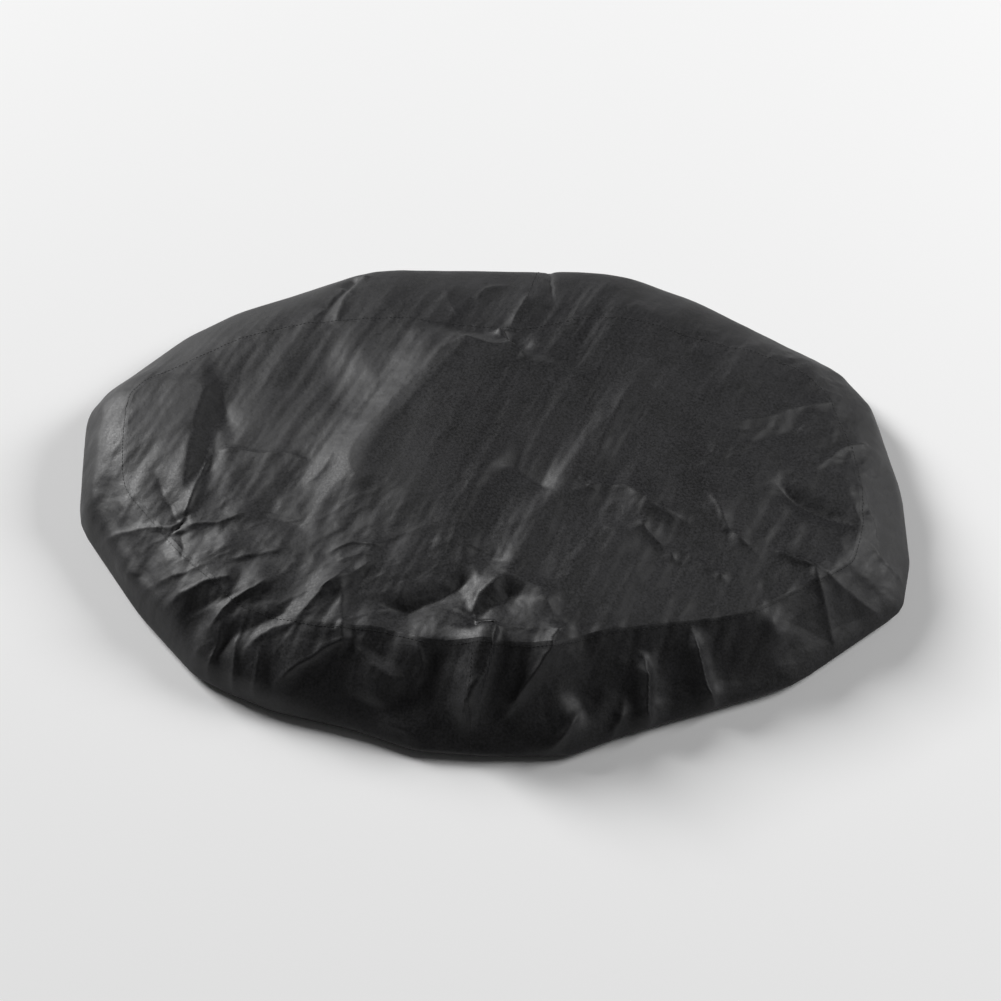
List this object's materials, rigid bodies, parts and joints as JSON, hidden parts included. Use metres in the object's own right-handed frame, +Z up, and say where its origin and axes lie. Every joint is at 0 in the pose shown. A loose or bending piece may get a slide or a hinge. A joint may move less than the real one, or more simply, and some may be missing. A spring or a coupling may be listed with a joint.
{
  "type": "spare wheel cover",
  "caption": "Soft black cloth cover with an elasticated hem that pulls over a spare wheel, shown lying flat with its opening down.",
  "frame": {"origin": "on the surface that the cover lies on, under the middle of its outline", "axes": "+X along the cover's long way, to the right; +Y along its short way, to the rear; +Z up, away from the opening"},
  "size_m": [0.77, 0.5805, 0.082],
  "materials": {
    "cloth": "thin black polyester with a soft sheen, creased",
    "casing": "the same black polyester, folded into a channel",
    "tape": "matt black woven binding tape",
    "elastic": "black ribbed woven elastic",
    "thread": "black polyester sewing thread"
  },
  "bodies": {
    "root": {"top_panel": "cloth", "side_band_left": "cloth", "side_band_right": "cloth", "hem_casing": "casing", "top_seam_binding": "tape", "front_join_binding": "tape", "rear_join_binding": "tape", "hem_elastic": "elastic", "elastic_splice_stitching": "thread", "top_seam_stitching": "thread", "front_join_stitching": "thread", "rear_join_stitching": "thread", "hem_stitching": "thread"}
  },
  "joints": []
}
